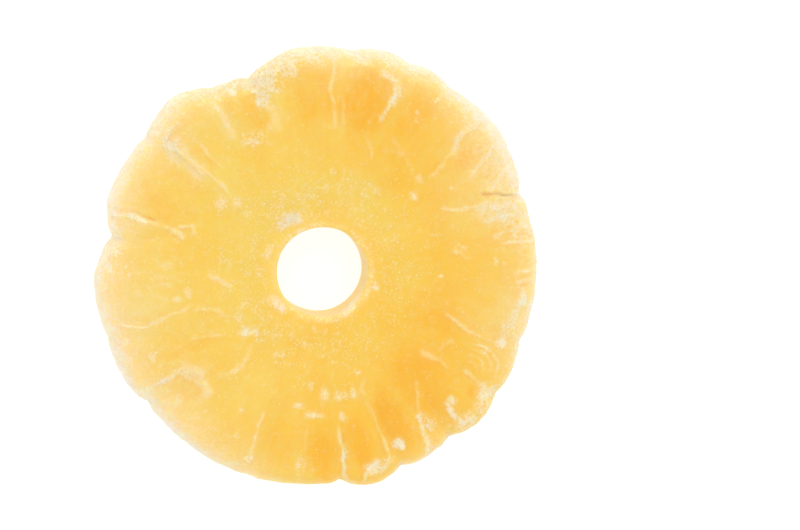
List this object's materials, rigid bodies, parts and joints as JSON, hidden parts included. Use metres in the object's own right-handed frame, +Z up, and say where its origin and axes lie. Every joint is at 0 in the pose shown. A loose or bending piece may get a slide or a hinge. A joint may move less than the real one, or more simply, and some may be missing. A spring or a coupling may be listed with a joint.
{
  "type": "candied pineapple ring",
  "caption": "Candied pineapple ring: a thick round slice with a punched core hole, a softly scalloped rim and shallow seams between its fruitlets, dusted with sugar.",
  "frame": {"origin": "middle of the ring's bounding box across, on the surface that it lies on", "axes": "+Z up out of the upper face of the ring, along its hole; +Y towards the far side of the ring, away from the small lobe between its two deepest seams; +X to the right of that"},
  "size_m": [0.0784, 0.0778, 0.0112],
  "materials": {
    "fruit_flesh": "golden yellow candied fruit flesh that lets light into it, satin, with a whitish frost of fine sugar on its rim, seams and lips"
  },
  "bodies": {
    "root": {"pineapple_ring": "fruit_flesh"}
  },
  "joints": []
}
